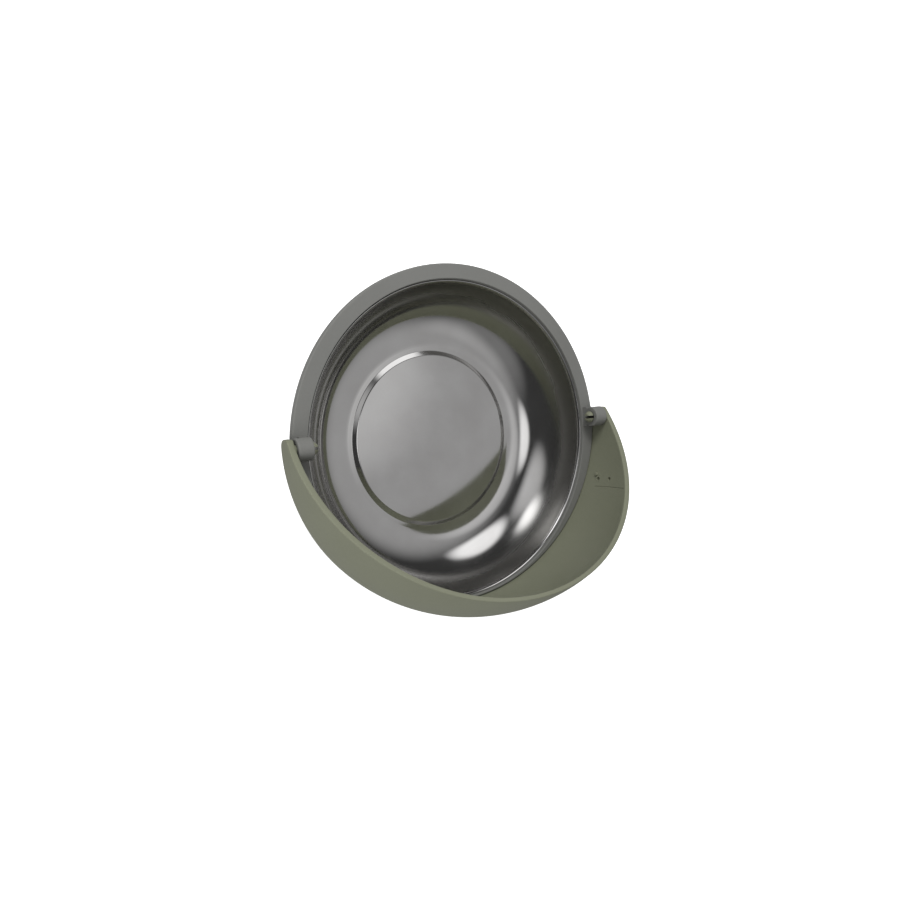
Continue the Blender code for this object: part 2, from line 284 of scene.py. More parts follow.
rubber = base_finish("boot_rubber", (0.016, 0.016, 0.016), (0.032, 0.031, 0.030), 0.72, 90.0)
ferrite = base_finish("ferrite", (0.035, 0.035, 0.038), (0.065, 0.064, 0.066), 0.58, 260.0)
zinc = base_finish("zinc_plate", (0.50, 0.51, 0.54), (0.62, 0.62, 0.61), 0.34, 140.0, 1.0)
print("made", rubber.name, ferrite.name, zinc.name)

# %% [markdown]
# ## A Geometry Nodes lathe
# Most pieces are turned: a profile swept about an axis. Blender's Screw modifier does that too, but a node
# tree shows the rule itself. A grid of points has one column for each point of the profile and one row for
# each step of the turn. Each grid point looks up its profile point by number, and is swung about Z by its
# row. Merging by distance then closes the seam and the poles.


# %% The lathe tree
def new_tree(name, **sockets):
    """Geometry tree with named inputs of those kinds, and the outputs of its input node."""
    tree = bpy.data.node_groups.new(name, 'GeometryNodeTree')
    for socket, kind in sockets.items():
        tree.interface.new_socket(socket, in_out='INPUT', socket_type='NodeSocket' + kind)
    tree.interface.new_socket("Piece", in_out='OUTPUT', socket_type='NodeSocketGeometry')
    return tree, add_node(tree, 'NodeGroupInput').outputs


def end_tree(tree, shape, finish):
    """Ends a tree with real geometry in one finish."""
    real = add_node(tree, 'GeometryNodeRealizeInstances', {"Geometry": shape}).outputs[0]
    dressed = add_node(tree, 'GeometryNodeSetMaterial', {"Geometry": real, "Material": finish}).outputs[0]
    add_node(tree, 'NodeGroupOutput', {"Piece": dressed})
    return tree


def lathe_tree():
    tree, source = new_tree("lathe", Profile='Geometry', Steps='Int', Merge='Float', Finish='Material')
    count = add_node(tree, 'GeometryNodeAttributeDomainSize', {0: source["Profile"]}).outputs["Point Count"]
    rows = calc(tree, 'ADD', source["Steps"], 1.0)
    grid = add_node(tree, 'GeometryNodeMeshGrid', {"Vertices X": rows, "Vertices Y": count}).outputs["Mesh"]
    number = add_node(tree, 'GeometryNodeInputIndex').outputs[0]
    along = calc(tree, 'MODULO', number, count)
    row = calc(tree, 'FLOOR', calc(tree, 'DIVIDE', number, count))
    swing = calc(tree, 'MULTIPLY', row, calc(tree, 'DIVIDE', math.tau, source["Steps"]))
    spot = add_node(tree, 'GeometryNodeInputPosition').outputs[0]
    looked_up = add_node(tree, 'GeometryNodeSampleIndex', {"Geometry": source["Profile"], "Value": spot,
                                                           "Index": along}, data_type='FLOAT_VECTOR')
    swung = add_node(tree, 'ShaderNodeVectorRotate', {"Vector": looked_up.outputs[0], "Angle": swing},
                     rotation_type='Z_AXIS')
    placed = add_node(tree, 'GeometryNodeSetPosition', {"Geometry": grid, "Position": swung.outputs[0]})
    merged = add_node(tree, 'GeometryNodeMergeByDistance', {"Geometry": placed.outputs[0],
                                                            "Distance": source["Merge"]})
    return end_tree(tree, merged.outputs[0], source["Finish"])


LATHE = lathe_tree()
print("lathe tree with", len(LATHE.nodes), "nodes")

# %% [markdown]
# ## From a tree to a plain mesh
# A modifier's inputs are set by the sockets' identifiers. The evaluated object is copied to a plain mesh
# and the holder is thrown away, because a finished piece carries no live tree. Every closed mesh then gets
# its normals turned outwards, smooth shading, and sharp edges where two faces meet at a clear angle.

# %% Mesh helpers
SEAM = 0.001
DOUBLES = 0.002
SLIVER = 0.0005


def outwards(mesh, sharp=40.0):
    """Merges doubles, turns the faces outwards and shades smooth, but for edges past the sharp angle."""
    work = bmesh.new()
    work.from_mesh(mesh)
    bmesh.ops.remove_doubles(work, verts=work.verts, dist=DOUBLES * MM)
    bmesh.ops.dissolve_degenerate(work, edges=work.edges, dist=SLIVER * MM)
    bmesh.ops.recalc_face_normals(work, faces=work.faces)
    work.to_mesh(mesh)
    work.free()
    mesh.shade_smooth()
    mesh.set_sharp_from_angle(angle=math.radians(sharp))
    return mesh


def dress(mesh, finish):
    mesh.materials.clear()
    mesh.materials.append(finish)


def add_object(name, mesh, finish=None):
    made = bpy.data.objects.new(name, mesh)
    bpy.context.scene.collection.objects.link(made)
    if finish:
        dress(mesh, finish)
    return made


def evaluated_mesh(holder):
    """Plain mesh of an object as its modifiers leave it."""
    graph = bpy.context.evaluated_depsgraph_get()
    return bpy.data.meshes.new_from_object(holder.evaluated_get(graph))


def run_tree(tree, source, values):
    """Plain mesh that a tree makes of a source mesh, with its inputs set to those values."""
    holder = add_object("tree_holder", source)
    maker = holder.modifiers.new("tree", 'NODES')
    maker.node_group = tree
    for socket in tree.interface.items_tree:
        if socket.in_out == 'INPUT' and socket.name in values:
            maker[socket.identifier] = values[socket.name]
    mesh = evaluated_mesh(holder)
    holder.modifiers.remove(maker)
    bpy.data.objects.remove(holder)
    return mesh


def turned(profile, finish, steps, along_x=False):
    """Mesh of a profile of (radius, height) points in millimetres, turned about Z or laid along X."""
    line = bpy.data.meshes.new("profile")
    edges = [(i, i + 1) for i in range(len(profile) - 1)]
    line.from_pydata([(r * MM, 0, h * MM) for r, h in profile], edges, [])
    mesh = run_tree(LATHE, line, {"Steps": steps, "Merge": SEAM * MM, "Finish": finish})
    if along_x:
        mesh.transform(Matrix.Rotation(math.pi / 2, 4, 'Y'))
    return outwards(mesh)


def arc(centre, radius, start, end, steps):
    """Points on an arc, angles in degrees from the first axis towards the second."""
    turns = [math.radians(start + (end - start) * i / steps) for i in range(steps + 1)]
    return [(centre[0] + radius * math.cos(a), centre[1] + radius * math.sin(a)) for a in turns]


def rounded(corners, steps=8, guard=0.0):
    """Line through (a, b, radius) corners: one with a radius becomes an arc with guard points beside it."""
    points = []
    for i, (a, b, radius) in enumerate(corners):
        here = Vector((a, b))
        if radius == 0:
            points.append(tuple(here))
            continue
        back = (Vector(corners[i - 1][:2]) - here).normalized()
        ahead = (Vector(corners[(i + 1) % len(corners)][:2]) - here).normalized()
        half = back.angle(ahead) / 2
        reach = radius / math.tan(half)
        centre = here + (back + ahead).normalized() * radius / math.sin(half)
        first = here + back * reach - centre
        turn = first.angle_signed(here + ahead * reach - centre)
        if guard:
            points.append(tuple(here + back * (reach + guard)))
        for k in range(steps + 1):
            points.append(tuple(centre + Matrix.Rotation(-turn * k / steps, 2) @ first))
        if guard:
            points.append(tuple(here + ahead * (reach + guard)))
    return points


def settle(piece, body, slot, *nodes):
    """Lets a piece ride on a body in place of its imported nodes."""
    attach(piece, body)
    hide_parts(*nodes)
    print(f"{piece.name}: {len(piece.data.polygons)} faces on {body}, for {', '.join(nodes)}")


print("mesh helpers ready")

# %% [markdown]
# ## The dish
# The dish is one pressing: a raised round plateau over the magnet, a shallow channel round it, a wide curve
# up to a steep wall, and a flared rim that rests in the frame. Its profile is drawn once, inside and
# underside together, and turned. Flat stretches get a guard point beside each arc, so that the smooth
# shading of the arc doesn't bend the mirror of the flat. The plateau is a very low dome, as drawn sheet
# springs back to, and that widens what it mirrors.

# %% The dish
WALL_DRAFT = math.radians(14)
FLOOR_ROUND = 27.0
RIM_ROUND = 1.6
RIM_TILT = math.radians(20)
RIM_DROP = 1.2
RIM_EDGE = 0.15
FLARE_R = RIM_R + (RIM_ROUND - SHEET) * math.sin(RIM_TILT)
FLARE_Z = FACE_Z - RIM_DROP - RIM_ROUND * math.cos(RIM_TILT)
PLATEAU_R = 40.3
PLATEAU_RISE = 1.0
PLATEAU_STEP = 2.2
PLATEAU_CROWN = 0.5
CROWN_STEPS = 24
STEP_ROUND = 0.9
PLATEAU_Z = FLOOR_Z + PLATEAU_RISE
SIDE = SHEET / math.cos(WALL_DRAFT)
FLARE_STEPS = 6
ROUND_STEPS = 16
MIRROR_GUARD = 0.15
DISH_STEPS = 240


def wall_r(z):
    """Radius of the wall's inner face at height z."""
    return FLARE_R - RIM_ROUND / math.cos(WALL_DRAFT) - math.tan(WALL_DRAFT) * (FLARE_Z - z)


def rim_flare(depth):
    """Arc from the wall to the rim's edge, depth below the dish's inner face."""
    start = 180 - math.degrees(WALL_DRAFT)
    end = 90 + math.degrees(RIM_TILT)
    return arc((FLARE_R, FLARE_Z), RIM_ROUND - depth, start, end, FLARE_STEPS)


def crowned(points):
    """Lifts the plateau's points to a low dome."""
    return [(r, z + PLATEAU_CROWN * max(0, 1 - (r / PLATEAU_R) ** 2)) for r, z in points]


def dish_profile():
    slope = math.atan2(PLATEAU_RISE, PLATEAU_STEP)
    back = SHEET * math.tan(slope / 2)
    under_z = FLOOR_Z - SHEET
    plateau = [(PLATEAU_R * i / CROWN_STEPS, PLATEAU_Z) for i in range(CROWN_STEPS - 1)]
    inside = plateau + rounded([
        (0, PLATEAU_Z, 0),
        (PLATEAU_R, PLATEAU_Z, STEP_ROUND + SHEET),
        (PLATEAU_R + PLATEAU_STEP, FLOOR_Z, STEP_ROUND),
        (wall_r(FLOOR_Z), FLOOR_Z, FLOOR_ROUND),
        (wall_r(FLARE_Z), FLARE_Z, 0),
    ], steps=ROUND_STEPS, guard=MIRROR_GUARD)[1:-1]
    under = rounded([
        (wall_r(FLARE_Z) + SIDE, FLARE_Z, 0),
        (wall_r(under_z) + SIDE, under_z, FLOOR_ROUND + SHEET),
        (PLATEAU_R + PLATEAU_STEP - back, under_z, STEP_ROUND + SHEET),
        (PLATEAU_R - back, PLATEAU_Z - SHEET, STEP_ROUND),
        (0, PLATEAU_Z - SHEET, 0),
    ], steps=ROUND_STEPS, guard=MIRROR_GUARD)[1:-1] + [(r, z - SHEET) for r, z in plateau[::-1]]
    above = rim_flare(0)
    below = rim_flare(SHEET)[::-1]
    edge = rounded([(*above[-2], 0), (*above[-1], RIM_EDGE), (*below[0], 0)], steps=4)
    return crowned(inside + above[:-2] + edge + below[1:] + under)


dish = add_object("steel_dish", turned(dish_profile(), steel, DISH_STEPS), steel)
settle(dish, "tray", "stainless", "dish")

# %% [markdown]
# ## The rim frame
# The frame is a flat plastic ring with a collar below it that grips the dish's wall. On the hood's side it
# is trimmed, because the hood has to pass: the trimming surface is an ellipsoid about the pivot line. A
# Boolean would cut that, but it leaves a ragged row of slivers. Here the outer edge is worked out instead:
# at every angle it is the full radius or the ellipsoid's, whichever is less, and the rounded edge follows
# it.

# %% The rim frame
FRAME_IN_R = RIM_R + SEAT_GAP
FRAME_R = ring_high.y
FRAME_T = 3.8
FRAME_EDGE = 0.6
FRAME_INNER_EDGE = 0.4
FRAME_LIP = 0.9
SKIRT_DEPTH = 9.5
SKIRT_T = 1.4
SKIRT_EDGE = 0.35
HOOD_SIDE_ROOM = 1.2
EAR_GAP = 0.8
HOOD_SIDE = FRAME_R + HOOD_SIDE_ROOM
SWEEP_R = math.hypot(FRAME_IN_R + FRAME_LIP + pivot.y, PIVOT_RISE)
SWEEP_SIDE = HOOD_SIDE - EAR_GAP
EDGE_SHARE = 0.4
INNER_EDGE_SHARE = 0.45
EDGE_STEPS = 6
EDGE_GUARD = 0.04
RING_STEPS = 480


def sweep_r(turn, z):
    """Radius at which the hood's sweep is met, in direction turn at height z."""
    over_x = (math.cos(turn) / SWEEP_SIDE) ** 2
    over_y = (math.sin(turn) / SWEEP_R) ** 2
    a = over_x + over_y
    b = -math.sin(turn) * pivot.y / SWEEP_R ** 2
    c = (pivot.y ** 2 + (z - pivot.z) ** 2) / SWEEP_R ** 2 - 1
    return (-b + math.sqrt(b * b - a * c)) / a


def frame_section(turn):
    """Section of the frame in direction turn, in (radius, height): its edges shrink where it is narrow."""
    side = (SHEET + SEAT_GAP) / math.cos(WALL_DRAFT)
    under_z = FACE_Z - FRAME_T
    skirt_z = FACE_Z - SKIRT_DEPTH
    room = min(FRAME_R, sweep_r(turn, FACE_Z)) - FRAME_IN_R
    edge = min(FRAME_EDGE, EDGE_SHARE * room)
    seat_z = FLARE_Z + (FRAME_IN_R - side - wall_r(FLARE_Z)) / math.tan(WALL_DRAFT)
    inner = rounded([
        (wall_r(under_z) + side + SKIRT_T, under_z, FINE_EDGE),
        (wall_r(skirt_z) + side + SKIRT_T, skirt_z, SKIRT_EDGE),
        (wall_r(skirt_z) + side, skirt_z, SKIRT_EDGE),
        (FRAME_IN_R, seat_z, 0),
        (FRAME_IN_R, FACE_Z, min(FRAME_INNER_EDGE, INNER_EDGE_SHARE * room)),
        (FRAME_R, FACE_Z, 0),
        (FRAME_R, under_z, 0),
    ], steps=4, guard=EDGE_GUARD)[:-2]
    top = arc((edge, FACE_Z - edge), edge, 90, 180, EDGE_STEPS)
    low = arc((edge, under_z + edge), edge, 180, 270, EDGE_STEPS)
    outer = [(edge + EDGE_GUARD, FACE_Z)] + top + low
    return inner + [(min(FRAME_R, sweep_r(turn, z)) - inset, z) for inset, z in outer]


def grid_mesh(name, rows, closed_rows=False, closed_columns=False):
    """Quads over a table of points in millimetres."""
    points = [tuple(Vector(p) * MM) for row in rows for p in row]
    wide = len(rows[0])
    tall = len(rows)
    faces = []
    for i in range(tall if closed_rows else tall - 1):
        for j in range(wide if closed_columns else wide - 1):
            below = ((i + 1) % tall) * wide
            right = (j + 1) % wide
            faces.append((i * wide + j, i * wide + right, below + right, below + j))
    mesh = bpy.data.meshes.new(name)
    mesh.from_pydata(points, [], faces)
    return mesh


def ring_rows():
    rows = []
    for i in range(RING_STEPS):
        turn = math.tau * i / RING_STEPS
        rows.append([(r * math.cos(turn), r * math.sin(turn), z) for r, z in frame_section(turn)])
    return rows


ring = add_object("rim_frame", outwards(grid_mesh("rim_frame", ring_rows(), True, True)), frame_plastic)
print("ring section of", len(frame_section(0)), "points,", len(ring.data.polygons), "faces")

# %% [markdown]
# ## Barrels on the frame
# Two barrels carry the hood's pins. Each is a short tube with softened ends on a foot that grows out of the
# frame. A Boolean union makes ring, feet and barrels one moulding. The Exact solver is slower than the
# Float one, but it copes with faces that lie in one plane, as the feet's do.

# %% Barrels
BARREL_R = 4.8
BARREL_INSET = 0.7
BARREL_EDGE = 0.5
BARREL_STEPS = 64
LUG_FOOT = 3.2
LUG_INSET = 0.02
LUG_BORE_ROOM = 0.4
SMALL_GUARD = 0.05
SHARP_ANGLE = 35
PIN_R = 2.1
BORE_R = PIN_R + SEAT_GAP
HOOD_T = 1.9
HOOD_EAR_T = 2.8
MID_Y = 0.9
MID_Z = 2.0
HOOD_LOW = PIVOT_RISE + FRAME_T
HOOD_GAP = 0.4
HOOD_R = SWEEP_R + HOOD_GAP + MID_Y + MID_Z * HOOD_LOW / SWEEP_R
BARREL_IN = FRAME_IN_R + BARREL_INSET
BARREL_OUT = HOOD_SIDE * math.sqrt(1 - ((BARREL_R + MID_Y + MID_Z) / HOOD_R) ** 2) - SEAT_GAP


def boolean(target, tool, operation):
    """Joins or cuts a closed mesh with another, and removes the tool."""
    cut = target.modifiers.new("boolean", 'BOOLEAN')
    cut.operation = operation
    cut.solver = 'EXACT'
    cut.object = tool
    mesh = evaluated_mesh(target)
    target.modifiers.remove(cut)
    target.data = mesh
    bpy.data.objects.remove(tool)


def block(name, low, high):
    """Box between two corners in millimetres."""
    work = bmesh.new()
    bmesh.ops.create_cube(work, size=1)
    for vert in work.verts:
        vert.co = Vector([(h if c > 0 else l) * MM for c, l, h in zip(vert.co, low, high)])
    bmesh.ops.recalc_face_normals(work, faces=work.faces)
    mesh = bpy.data.meshes.new(name)
    work.to_mesh(mesh)
    work.free()
    return add_object(name, mesh)


def at_pivot(side):
    """Takes a piece along +X to the right pivot, or turned half round to the left one."""
    return Matrix.Translation(pivot * MM) @ Matrix.Rotation(0 if side > 0 else math.pi, 4, 'Z')


def barrel(side):
    profile = rounded([
        (BORE_R, BARREL_IN, FINE_EDGE),
        (BARREL_R, BARREL_IN, BARREL_EDGE),
        (BARREL_R, BARREL_OUT, BARREL_EDGE),
        (BORE_R, BARREL_OUT, FINE_EDGE),
    ], steps=5, guard=SMALL_GUARD)
    mesh = turned(profile + profile[:1], frame_plastic, BARREL_STEPS, along_x=True)
    mesh.transform(at_pivot(side))
    return add_object("barrel", mesh)


def lug_foot(side):
    """Block under a barrel, from inside the barrel's wall down into the ring, with the bore left free."""
    wide = BARREL_R - LUG_INSET
    start = BARREL_IN + LUG_INSET
    near, far = sorted((side * start, side * (start + BARREL_OUT - BARREL_IN - LUG_FOOT)))
    low = Vector((near, pivot.y - wide, FACE_Z - FRAME_T / 2))
    high = Vector((far, pivot.y + wide, pivot.z - BORE_R - LUG_BORE_ROOM))
    return block("lug_foot", low, high)


for sign in (1, -1):
    boolean(ring, lug_foot(sign), 'UNION')
    boolean(ring, barrel(sign), 'UNION')
dress(outwards(ring.data, SHARP_ANGLE), frame_plastic)
settle(ring, "tray", "frame_plastic", "frame_ring")

# %% [markdown]
# ## The hood
# The hood is a thin shell cut from an ellipsoid by three planes: level with the frame's underside, square
# behind the pivot, and along the slanting free edge. Its ears have rounded corners and its wall thickens
# towards them. Cutting a sphere with Booleans gives a rough rim, so the shell is laid out as a grid
# instead. Each column runs over the ellipsoid from the low edge to the free edge, and the rim between
# outside and inside is rounded all the way.

# %% The hood's outline
HOOD_OPEN = math.radians(35.7)
HOOD_LAP = 3.0
EAR_BACK = 4.4
EAR_ROUND = 4.5
EAR_NOSE = 2.0
HOOD_EDGE = 0.5
CORNER_STEPS = 10
LONG_STEPS = 130
SHELL_ROWS = 44
RIM_STEPS = 5


def shell_axes(depth):
    """Half width and round radius of the shell: depth 0 is its outside, 1 its inside."""
    return HOOD_SIDE + HOOD_EAR_T * (1 - depth), HOOD_R + HOOD_T * (1 - depth)


def shell_spot(y, z, depth):
    half_x, round_r = shell_axes(depth)
    reach = 1 - ((y - MID_Y) ** 2 + (z - MID_Z) ** 2) / round_r ** 2
    return Vector((half_x * math.sqrt(reach), y, z))


def ear_corners(inset):
    """The two rounded corners of an ear in side view, inset from the outline."""
    far = 2 * HOOD_R
    lap = (HOOD_LAP - inset) / math.cos(HOOD_OPEN)
    back = EAR_BACK - inset
    line = rounded([
        (-far, inset - HOOD_LOW, 0),
        (back, inset - HOOD_LOW, EAR_ROUND - inset),
        (back, lap - math.tan(HOOD_OPEN) * back, EAR_NOSE - inset),
        (-far, lap + math.tan(HOOD_OPEN) * far, 0),
    ], steps=CORNER_STEPS)
    return line[1:CORNER_STEPS + 2], line[CORNER_STEPS + 2:2 * CORNER_STEPS + 3]


def long_edge(start, lean, depth):
    """Points along a plane cut of the shell, from beside an ear to the hood's middle."""
    half_x, round_r = shell_axes(depth)
    forward = Vector((-math.cos(lean), math.sin(lean)))
    up = Vector((math.sin(lean), math.cos(lean)))
    middle = Vector((MID_Y, MID_Z))
    level = Vector(start).dot(up)
    cut_r = math.sqrt(round_r ** 2 - (level - middle.dot(up)) ** 2)
    begin = math.asin((Vector(start).dot(forward) - middle.dot(forward)) / cut_r)
    points = []
    for i in range(1, LONG_STEPS + 1):
        turn = begin + (math.pi / 2 - begin) * i / LONG_STEPS
        spot = forward * (middle.dot(forward) + cut_r * math.sin(turn)) + up * level
        points.append(Vector((half_x * cut_r / round_r * math.cos(turn), spot.x, spot.y)))
    return points


def edge_paths(inset, depth):
    """Low and free edge of the right half, from the ear to the hood's middle, and the ear's back edge."""
    low_corner, nose_corner = ear_corners(inset)
    low_corner = low_corner[::-1]
    paths = []
    for corner, lean in ((low_corner, 0.0), (nose_corner, HOOD_OPEN)):
        path = [shell_spot(*p, depth) for p in corner]
        paths.append(path + long_edge(corner[-1], lean, depth))
    start = Vector(low_corner[0])
    back = [start.lerp(Vector(nose_corner[0]), i / SHELL_ROWS) for i in range(SHELL_ROWS + 1)]
    return *paths, [shell_spot(*p, depth) for p in back]


free_path = edge_paths(0, 0)[1]
print(f"free edge stands {max(p.z for p in free_path) + pivot.z:.1f} mm high, {len(free_path)} points a side")

# %% [markdown]
# With the outline in hand, the shell is three grids: the outside, the inside, and the rim that joins them.
# A column of the outside runs along the great circle between its two edge points, which keeps the faces
# even. The left half is the mirror image of the right.


# %% The hood's shell
def over_shell(first, last, depth, share):
    """Point between two points of the shell, along the great circle of its unit sphere."""
    half_x, round_r = shell_axes(depth)
    middle = Vector((0, MID_Y, MID_Z))
    scale = Vector((half_x, round_r, round_r))
    a = Vector([(p - m) / s for p, m, s in zip(first, middle, scale)])
    b = Vector([(p - m) / s for p, m, s in zip(last, middle, scale)])
    between = a.angle(b, 0.0)
    if between < 1e-6:
        return first
    c = (a * math.sin((1 - share) * between) + b * math.sin(share * between)) / math.sin(between)
    return Vector([v * s + m for v, s, m in zip(c, scale, middle)])


def mirrored(point):
    return Vector((-point.x, point.y, point.z))


def shell_patch(inset, depth):
    low, free, back = edge_paths(inset, depth)
    shares = [i / SHELL_ROWS for i in range(SHELL_ROWS + 1)]
    right = [back] + [[over_shell(a, b, depth, s) for s in shares] for a, b in zip(low[1:], free[1:])]
    left = [[mirrored(p) for p in column] for column in right[-2::-1]]
    return right + left


def rim_loop(inset, depth):
    low, free, back = edge_paths(inset, depth)
    right = free[-2::-1] + back[-2:0:-1] + low
    left = low[-2::-1] + back[1:-1] + free
    return right + [mirrored(p) for p in left]


def rim_loops():
    turns = [math.pi / 2 * i / RIM_STEPS for i in range(RIM_STEPS + 1)]
    outer = [(HOOD_EDGE * (1 - math.sin(a)), HOOD_EDGE * (1 - math.cos(a)) / HOOD_T) for a in turns]
    inner = [(inset, 1 - depth) for inset, depth in outer[::-1]]
    return [rim_loop(inset, depth) for inset, depth in outer + inner]


def join_meshes(name, meshes):
    work = bmesh.new()
    for mesh in meshes:
        work.from_mesh(mesh)
        bpy.data.meshes.remove(mesh)
    joined = bpy.data.meshes.new(name)
    work.to_mesh(joined)
    work.free()
    return joined


shell = join_meshes("hood_shell", [
    grid_mesh("outside", shell_patch(HOOD_EDGE, 0)),
    grid_mesh("inside", shell_patch(HOOD_EDGE, 1)),
    grid_mesh("rim", rim_loops(), closed_columns=True),
])
shell.transform(Matrix.Translation(pivot * MM))
hood = add_object("hood_shell", outwards(shell), hood_plastic)
print("shell of", len(hood.data.polygons), "faces")

# %% [markdown]
# ## Snap pins
# Each ear carries a split pin with a barbed head: squeezed through the barrel, it springs open behind it.
# The pin is turned by the lathe, laid along X, and a thin block cuts the slot.

# %% Snap pins
PIN_HEAD_R = 2.8
PIN_HEAD_L = 2.3
PIN_TIP_R = 0.8 * PIN_R
PIN_BARB_L = 0.3 * PIN_HEAD_L
PIN_SLOT = 1.4
PIN_SLOT_L = 7.0
PIN_ROOT = 0.6
PIN_STEPS = 48
OVERRUN = 1.0


def snap_pin(side):
    head_in = BARREL_IN - SEAT_GAP
    tip = head_in - PIN_HEAD_L
    profile = rounded([
        (0, tip, 0),
        (PIN_TIP_R, tip, FINE_EDGE),
        (PIN_HEAD_R, head_in - PIN_BARB_L, FINE_EDGE),
        (PIN_HEAD_R, head_in, CRISP_EDGE),
        (PIN_R, head_in, 0),
        (PIN_R, HOOD_SIDE + PIN_ROOT, 0),
        (0, HOOD_SIDE + PIN_ROOT, 0),
    ], steps=4)
    pin = add_object("snap_pin", turned(profile, hood_plastic, PIN_STEPS, along_x=True))
    half = PIN_SLOT / 2
    tall = 2 * PIN_HEAD_R
    slot = block("slot", (tip - OVERRUN, -half, -tall), (tip + PIN_SLOT_L, half, tall))
    boolean(pin, slot, 'DIFFERENCE')
    pin.data.transform(at_pivot(side))
    return pin


for sign in (1, -1):
    boolean(hood, snap_pin(sign), 'UNION')
print("hood with its pins:", len(hood.data.polygons), "faces")

# %% [markdown]
# ## Moulded marks
# Inside each ear the die has left two small round pits, a nub beside them and a faint parting line. Their
# places are given in side view from the pivot. A peg is set square on the shell there, and a Boolean cuts
# it out or joins it. The parting line is cut by a thin curved slat that follows the shell.

# %% Moulded marks
PIT_SPOTS = ((-31.4, 2.9), (-30.7, 11.1))
PIT_R = 1.1
PIT_DEPTH = 1.1
NUB_SPOT = (-29.2, 1.2)
NUB_R = 1.0
NUB_RISE = 0.8
PEG_LENGTH = 2.4
PEG_STEPS = 24
LINE_ENDS = ((-35.0, 2.0), (-33.5, 26.0))
LINE_WIDTH = 0.3
LINE_DEPTH = 0.2
LINE_STEPS = 24


def peg(spot, radius, inner, side):
    """Round peg square on the hood's inside, with its blunt end inner millimetres deep in the wall."""
    half_x, round_r = shell_axes(1)
    foot = shell_spot(*spot, 1)
    square = Vector((foot.x / half_x ** 2, (foot.y - MID_Y) / round_r ** 2, (foot.z - MID_Z) / round_r ** 2))
    across = Vector((side, 1, 1))
    outer = inner - PEG_LENGTH
    profile = rounded([
        (0, outer, 0),
        (radius, outer, FINE_EDGE),
        (radius, inner, CRISP_EDGE),
        (0, inner, 0),
    ], steps=4)
    mesh = turned(profile, hood_plastic, PEG_STEPS, along_x=True)
    turn = (square * across).to_track_quat('X', 'Z').to_matrix().to_4x4()
    mesh.transform(Matrix.Translation((pivot + foot * across) * MM) @ turn)
    return add_object("peg", mesh)


def slat(side):
    """Thin strip along the parting line, just deep enough to score the hood's inside."""
    rows = []
    for i in range(LINE_STEPS + 1):
        y, z = Vector(LINE_ENDS[0]).lerp(Vector(LINE_ENDS[1]), i / LINE_STEPS)
        skin = shell_spot(y, z, 1).x
        free = skin - OVERRUN
        deep = skin + LINE_DEPTH
        section = ((free, y), (free, y + LINE_WIDTH), (deep, y + LINE_WIDTH), (deep, y))
        rows.append([pivot + Vector((side * a, b, z)) for a, b in section])
    mesh = grid_mesh("slat", rows, closed_columns=True)
    work = bmesh.new()
    work.from_mesh(mesh)
    bmesh.ops.holes_fill(work, edges=work.edges)
    work.to_mesh(mesh)
    work.free()
    return add_object("slat", outwards(mesh))


for sign in (1, -1):
    for place in PIT_SPOTS:
        boolean(hood, peg(place, PIT_R, PIT_DEPTH, sign), 'DIFFERENCE')
    boolean(hood, peg(NUB_SPOT, NUB_R, PEG_LENGTH - NUB_RISE, sign), 'UNION')
    boolean(hood, slat(sign), 'DIFFERENCE')
dress(outwards(hood.data, SHARP_ANGLE), hood_plastic)
settle(hood, "hood", "hood_plastic", "swing_hood")

# %% [markdown]
# ## The magnet base
# A rubber boot under the plateau holds a ferrite ring and a steel backing plate, drawn up in the middle to
# seat a washer and nut on a stud welded to the dish. None of it shows from above, and all of it is turned
# except the nut.

# %% Boot, plate and magnet
BOOT_FLOOR = 2.2
BOOT_FLARE = 1.5
BOOT_EDGE = 1.2
BOOT_FILLET = 0.6
BOOT_GUARD = 0.1
BOOT_STEPS = 144
BOOT_IN_R = plate_high.x + SEAT_GAP
boot_top_r = boot_high.x
boot_foot_r = boot_top_r - BOOT_FLARE
PLATE_T = 2.0
HAT_R = 9.5
HAT_FLARE = 3.0
HAT_ROUND = 1.0
HOLE_R = 2.8
MAGNET_BORE_R = 18.0
MAGNET_EDGE = 0.8
BASE_STEPS = 120

boot_line = rounded([
    (0, BOOT_FLOOR, 0),
    (BOOT_IN_R, BOOT_FLOOR, BOOT_FILLET),
    (BOOT_IN_R, boot_high.z, FINE_EDGE),
    (boot_top_r, boot_high.z, BOOT_EDGE / 2),
    (boot_foot_r, 0, BOOT_EDGE),
    (0, 0, 0),
], steps=6, guard=BOOT_GUARD)
boot = add_object("rubber_boot", turned(boot_line, rubber, BOOT_STEPS), rubber)
settle(boot, "tray", "boot_rubber", "base_cover")

hat_foot = HAT_R + HAT_FLARE
hat_z = plate_high.z - PLATE_T
plate_line = rounded([
    (HOLE_R, plate_high.z, CRISP_EDGE),
    (HAT_R + PLATE_T, plate_high.z, HAT_ROUND),
    (hat_foot + PLATE_T, plate_low.z + PLATE_T, HAT_ROUND),
    (plate_high.x, plate_low.z + PLATE_T, FINE_EDGE),
    (plate_high.x, plate_low.z, FINE_EDGE),
    (hat_foot, plate_low.z, HAT_ROUND),
    (HAT_R, hat_z, HAT_ROUND),
    (HOLE_R, hat_z, CRISP_EDGE),
], steps=5, guard=SMALL_GUARD)
plate = add_object("backing_plate", turned(plate_line + plate_line[:1], zinc, BASE_STEPS), zinc)
settle(plate, "tray", "zinc_steel", "pole_plate")

